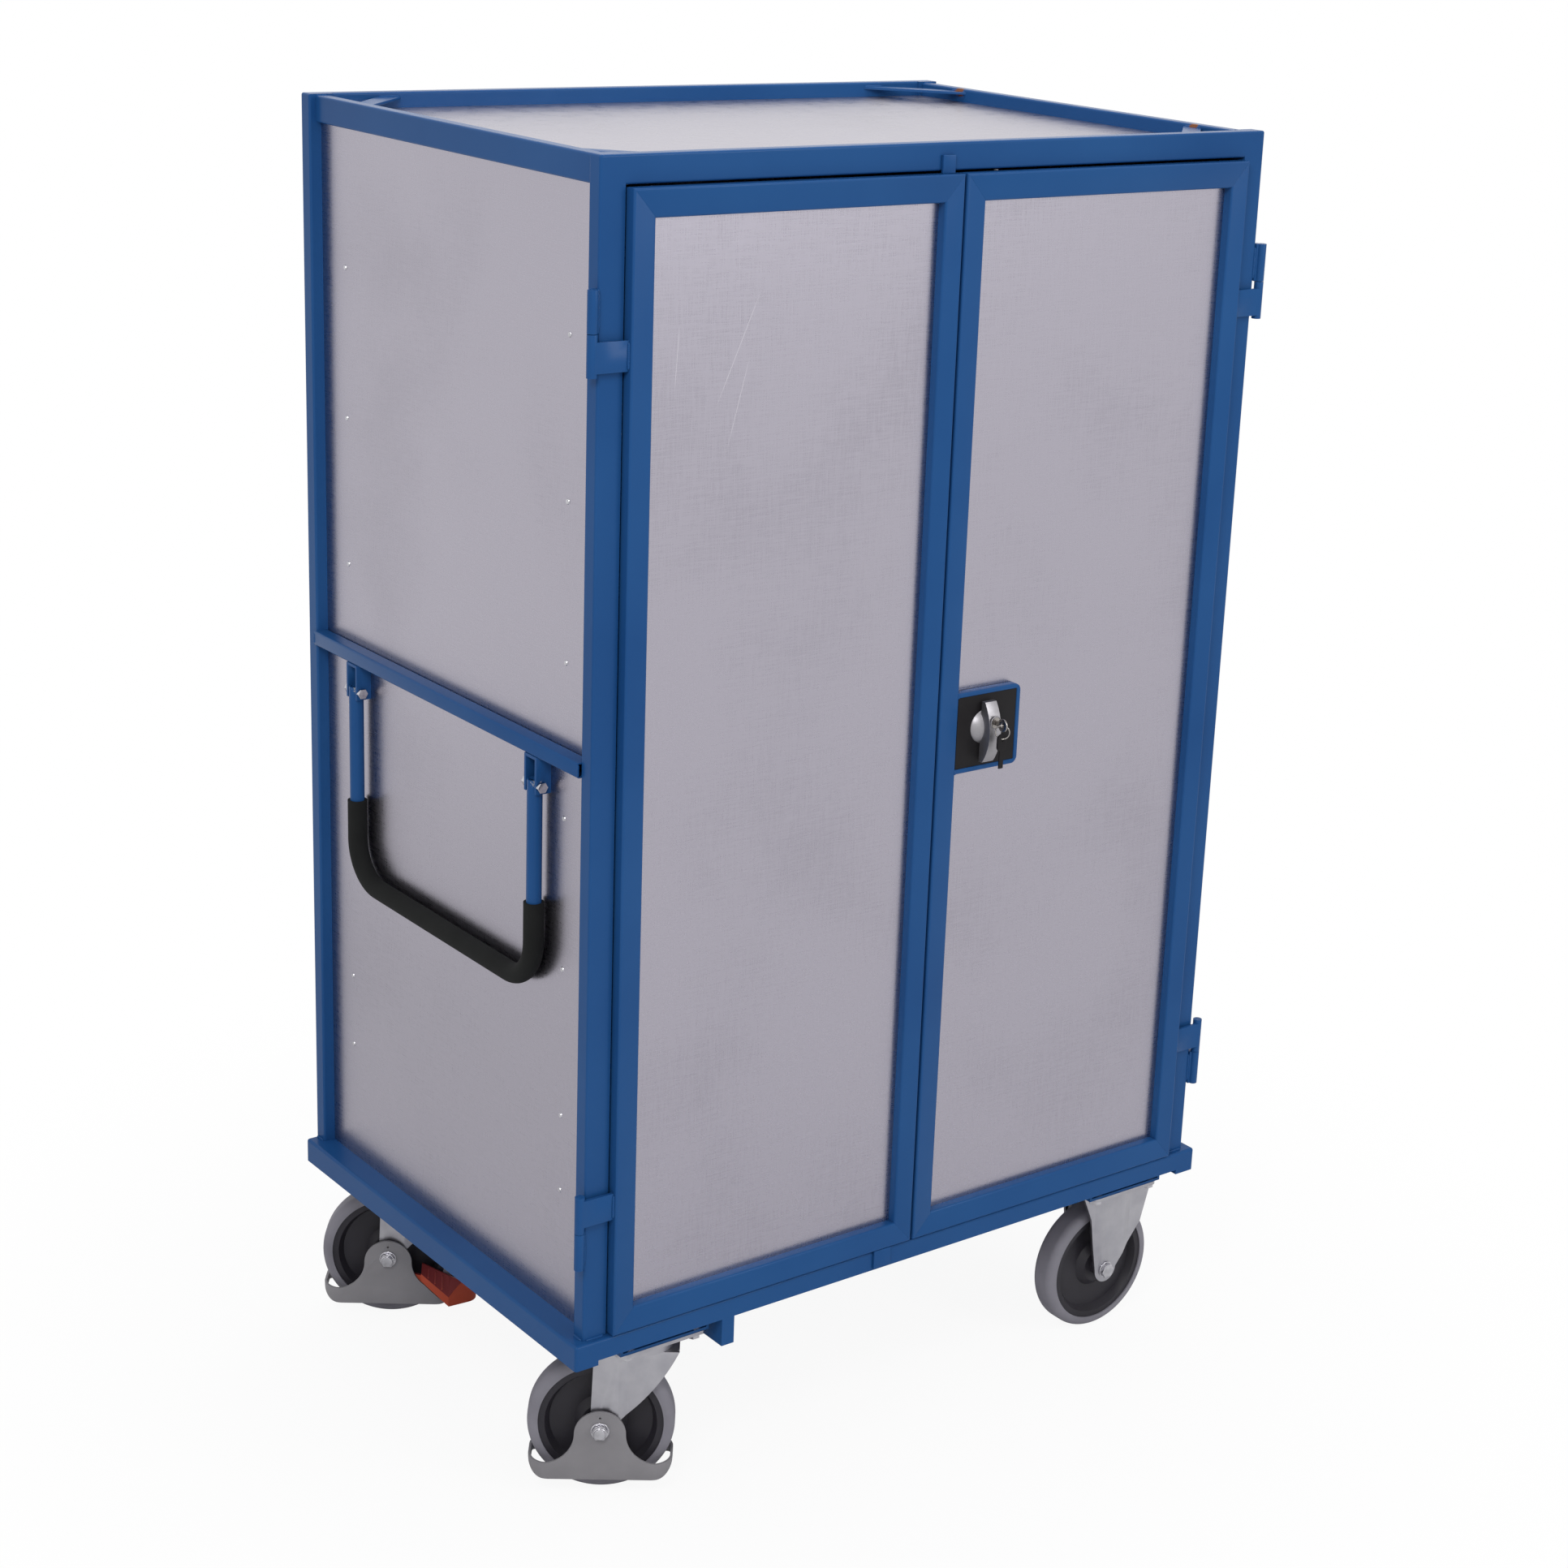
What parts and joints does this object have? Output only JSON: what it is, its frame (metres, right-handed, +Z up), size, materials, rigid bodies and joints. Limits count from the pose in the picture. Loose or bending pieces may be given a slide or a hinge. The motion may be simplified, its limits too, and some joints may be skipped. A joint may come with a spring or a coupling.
{
  "type": "cabinet trolley",
  "caption": "Tall sheet-steel cabinet on casters with a rimmed top, hinged double doors with a rod lock, inner shelves and a folding push handle.",
  "frame": {"origin": "on the floor, under the middle of the whole object's box", "axes": "+Z up, +X to the right seen from the doors, +Y from the doors to the back"},
  "size_m": [1.102, 0.8158, 1.802],
  "materials": {
    "blue_enamel": "powder coat, satin gloss",
    "zinc_sheet": "galvanised sheet, fine rolled grain",
    "zinc_pressing": "bright zinc plated pressing",
    "bright_fastener": "bright zinc plated",
    "grip_foam": "matt foam sleeve",
    "black_plastic": "moulded, matt",
    "guard_plastic": "moulded, matt",
    "rim_plastic": "moulded, matt",
    "tyre_rubber": "grey elastic rubber",
    "pedal_plastic": "moulded, matt",
    "lock_silver": "die cast, silver lacquer",
    "key_metal": "nickel plated"
  },
  "bodies": {
    "cabinet": {"base_side_rails": "blue_enamel", "base_end_rails": "blue_enamel", "base_crossmembers": "blue_enamel", "corner_posts": "blue_enamel", "top_rails": "blue_enamel", "corner_braces": "blue_enamel", "side_sheet_left": "zinc_sheet", "side_sheet_right": "zinc_sheet", "rear_sheet": "zinc_sheet", "top_sheet": "zinc_sheet", "floor_sheet": "zinc_sheet", "shelf_uprights": "zinc_sheet", "shelf_clips": "zinc_pressing", "shelves": "zinc_sheet", "shelf_rivets": "bright_fastener", "handle_rail": "blue_enamel", "handle_lugs": "blue_enamel", "handle_bolts": "bright_fastener", "post_hinges": "blue_enamel", "rod_keepers": "zinc_pressing", "swivel_plates": "zinc_pressing", "fixed_forks": "zinc_pressing", "fixed_axles": "bright_fastener", "caster_bolts": "bright_fastener"},
    "door_left": {"door_left_frame": "blue_enamel", "door_left_sheet": "zinc_sheet", "door_left_hinges": "blue_enamel", "door_left_stop_tabs": "blue_enamel"},
    "door_right": {"door_right_frame": "blue_enamel", "door_right_sheet": "zinc_sheet", "door_right_hinges": "blue_enamel", "lock_box": "blue_enamel", "lock_plate": "black_plastic", "lock_case": "zinc_pressing", "rod_guides": "black_plastic"},
    "lock_handle": {"lock_handle": "lock_silver", "lock_cam": "zinc_pressing"},
    "lock_rod_upper": {"lock_rod_upper": "zinc_pressing"},
    "lock_rod_lower": {"lock_rod_lower": "zinc_pressing"},
    "key_plug": {"key_cylinder": "key_metal", "key": "key_metal"},
    "key_ring": {"key_ring": "key_metal", "spare_key": "black_plastic"},
    "push_handle": {"push_handle_tube": "blue_enamel", "push_handle_grip": "grip_foam"},
    "swivel_front": {"swivel_fork_front": "zinc_pressing", "wheel_guard_front": "guard_plastic", "swivel_axle_front": "bright_fastener"},
    "swivel_rear": {"swivel_fork_rear": "zinc_pressing", "wheel_guard_rear": "guard_plastic", "swivel_axle_rear": "bright_fastener"},
    "brake_pedal": {"brake_pedal": "pedal_plastic"},
    "wheel_front_left": {"rim_front_left": "rim_plastic", "tyre_front_left": "tyre_rubber"},
    "wheel_front_right": {"rim_front_right": "rim_plastic", "tyre_front_right": "tyre_rubber"},
    "wheel_rear_left": {"rim_rear_left": "rim_plastic", "tyre_rear_left": "tyre_rubber"},
    "wheel_rear_right": {"rim_rear_right": "rim_plastic", "tyre_rear_right": "tyre_rubber"}
  },
  "joints": [
    {"name": "door_left_swing", "type": "hinge", "parent": "cabinet", "child": "door_left", "pos_m": [-0.5433, -0.35016, 0.283], "axis": [0, 0, 1], "range_deg": [-180, 0]},
    {"name": "door_right_swing", "type": "hinge", "parent": "cabinet", "child": "door_right", "pos_m": [0.5433, -0.35016, 0.283], "axis": [0, 0, 1], "range_deg": [0, 250]},
    {"name": "lock_handle_turn", "type": "hinge", "parent": "door_right", "child": "lock_handle", "pos_m": [0.08, -0.36086, 1.028], "axis": [0, 1, 0], "range_deg": [0, 90]},
    {"name": "lock_rod_upper_slide", "type": "slide", "parent": "door_right", "child": "lock_rod_upper", "axis": [0, 0, 1], "range_m": [0, 0.014]},
    {"name": "lock_rod_lower_slide", "type": "slide", "parent": "door_right", "child": "lock_rod_lower", "axis": [0, 0, -1], "range_m": [0, 0.014]},
    {"name": "key_turn", "type": "hinge", "parent": "lock_handle", "child": "key_plug", "pos_m": [0.08, -0.38486, 1.039], "axis": [0, 1, 0], "range_deg": [0, 90]},
    {"name": "key_ring_swing", "type": "hinge", "parent": "key_plug", "child": "key_ring", "pos_m": [0.08, -0.39886, 1.039], "axis": [1, 0, 0], "range_deg": [-80, 5]},
    {"name": "push_handle_fold", "type": "hinge", "parent": "cabinet", "child": "push_handle", "pos_m": [-0.532, 0.01964, 1.007], "axis": [0, 1, 0], "range_deg": [0, 90]},
    {"name": "swivel_front_turn", "type": "hinge", "parent": "cabinet", "child": "swivel_front", "pos_m": [-0.4, -0.28636, 0.2], "axis": [0, 0, 1], "continuous": true},
    {"name": "wheel_front_left_roll", "type": "hinge", "parent": "swivel_front", "child": "wheel_front_left", "pos_m": [-0.44315, -0.25558, 0.1], "axis": [-0.5807, -0.8141, 0], "continuous": true},
    {"name": "wheel_front_right_roll", "type": "hinge", "parent": "cabinet", "child": "wheel_front_right", "pos_m": [0.419, -0.28636, 0.1], "axis": [0, 1, 0], "continuous": true},
    {"name": "swivel_rear_turn", "type": "hinge", "parent": "cabinet", "child": "swivel_rear", "pos_m": [-0.4, 0.29864, 0.2], "axis": [0, 0, 1], "continuous": true},
    {"name": "wheel_rear_left_roll", "type": "hinge", "parent": "swivel_rear", "child": "wheel_rear_left", "pos_m": [-0.44315, 0.32942, 0.1], "axis": [-0.5807, -0.8141, 0], "continuous": true},
    {"name": "wheel_rear_right_roll", "type": "hinge", "parent": "cabinet", "child": "wheel_rear_right", "pos_m": [0.419, 0.29864, 0.1], "axis": [0, 1, 0], "continuous": true},
    {"name": "brake_pedal_tip", "type": "hinge", "parent": "swivel_rear", "child": "brake_pedal", "pos_m": [-0.41547, 0.30967, 0.066], "axis": [-0.5807, -0.8141, 0], "range_deg": [0, 12]}
  ],
  "couplings": [
    {"joint": "lock_rod_upper_slide", "follows": "lock_handle_turn", "m_per_rad": 0.0089127},
    {"joint": "lock_rod_lower_slide", "follows": "lock_handle_turn", "m_per_rad": 0.0089127}
  ]
}
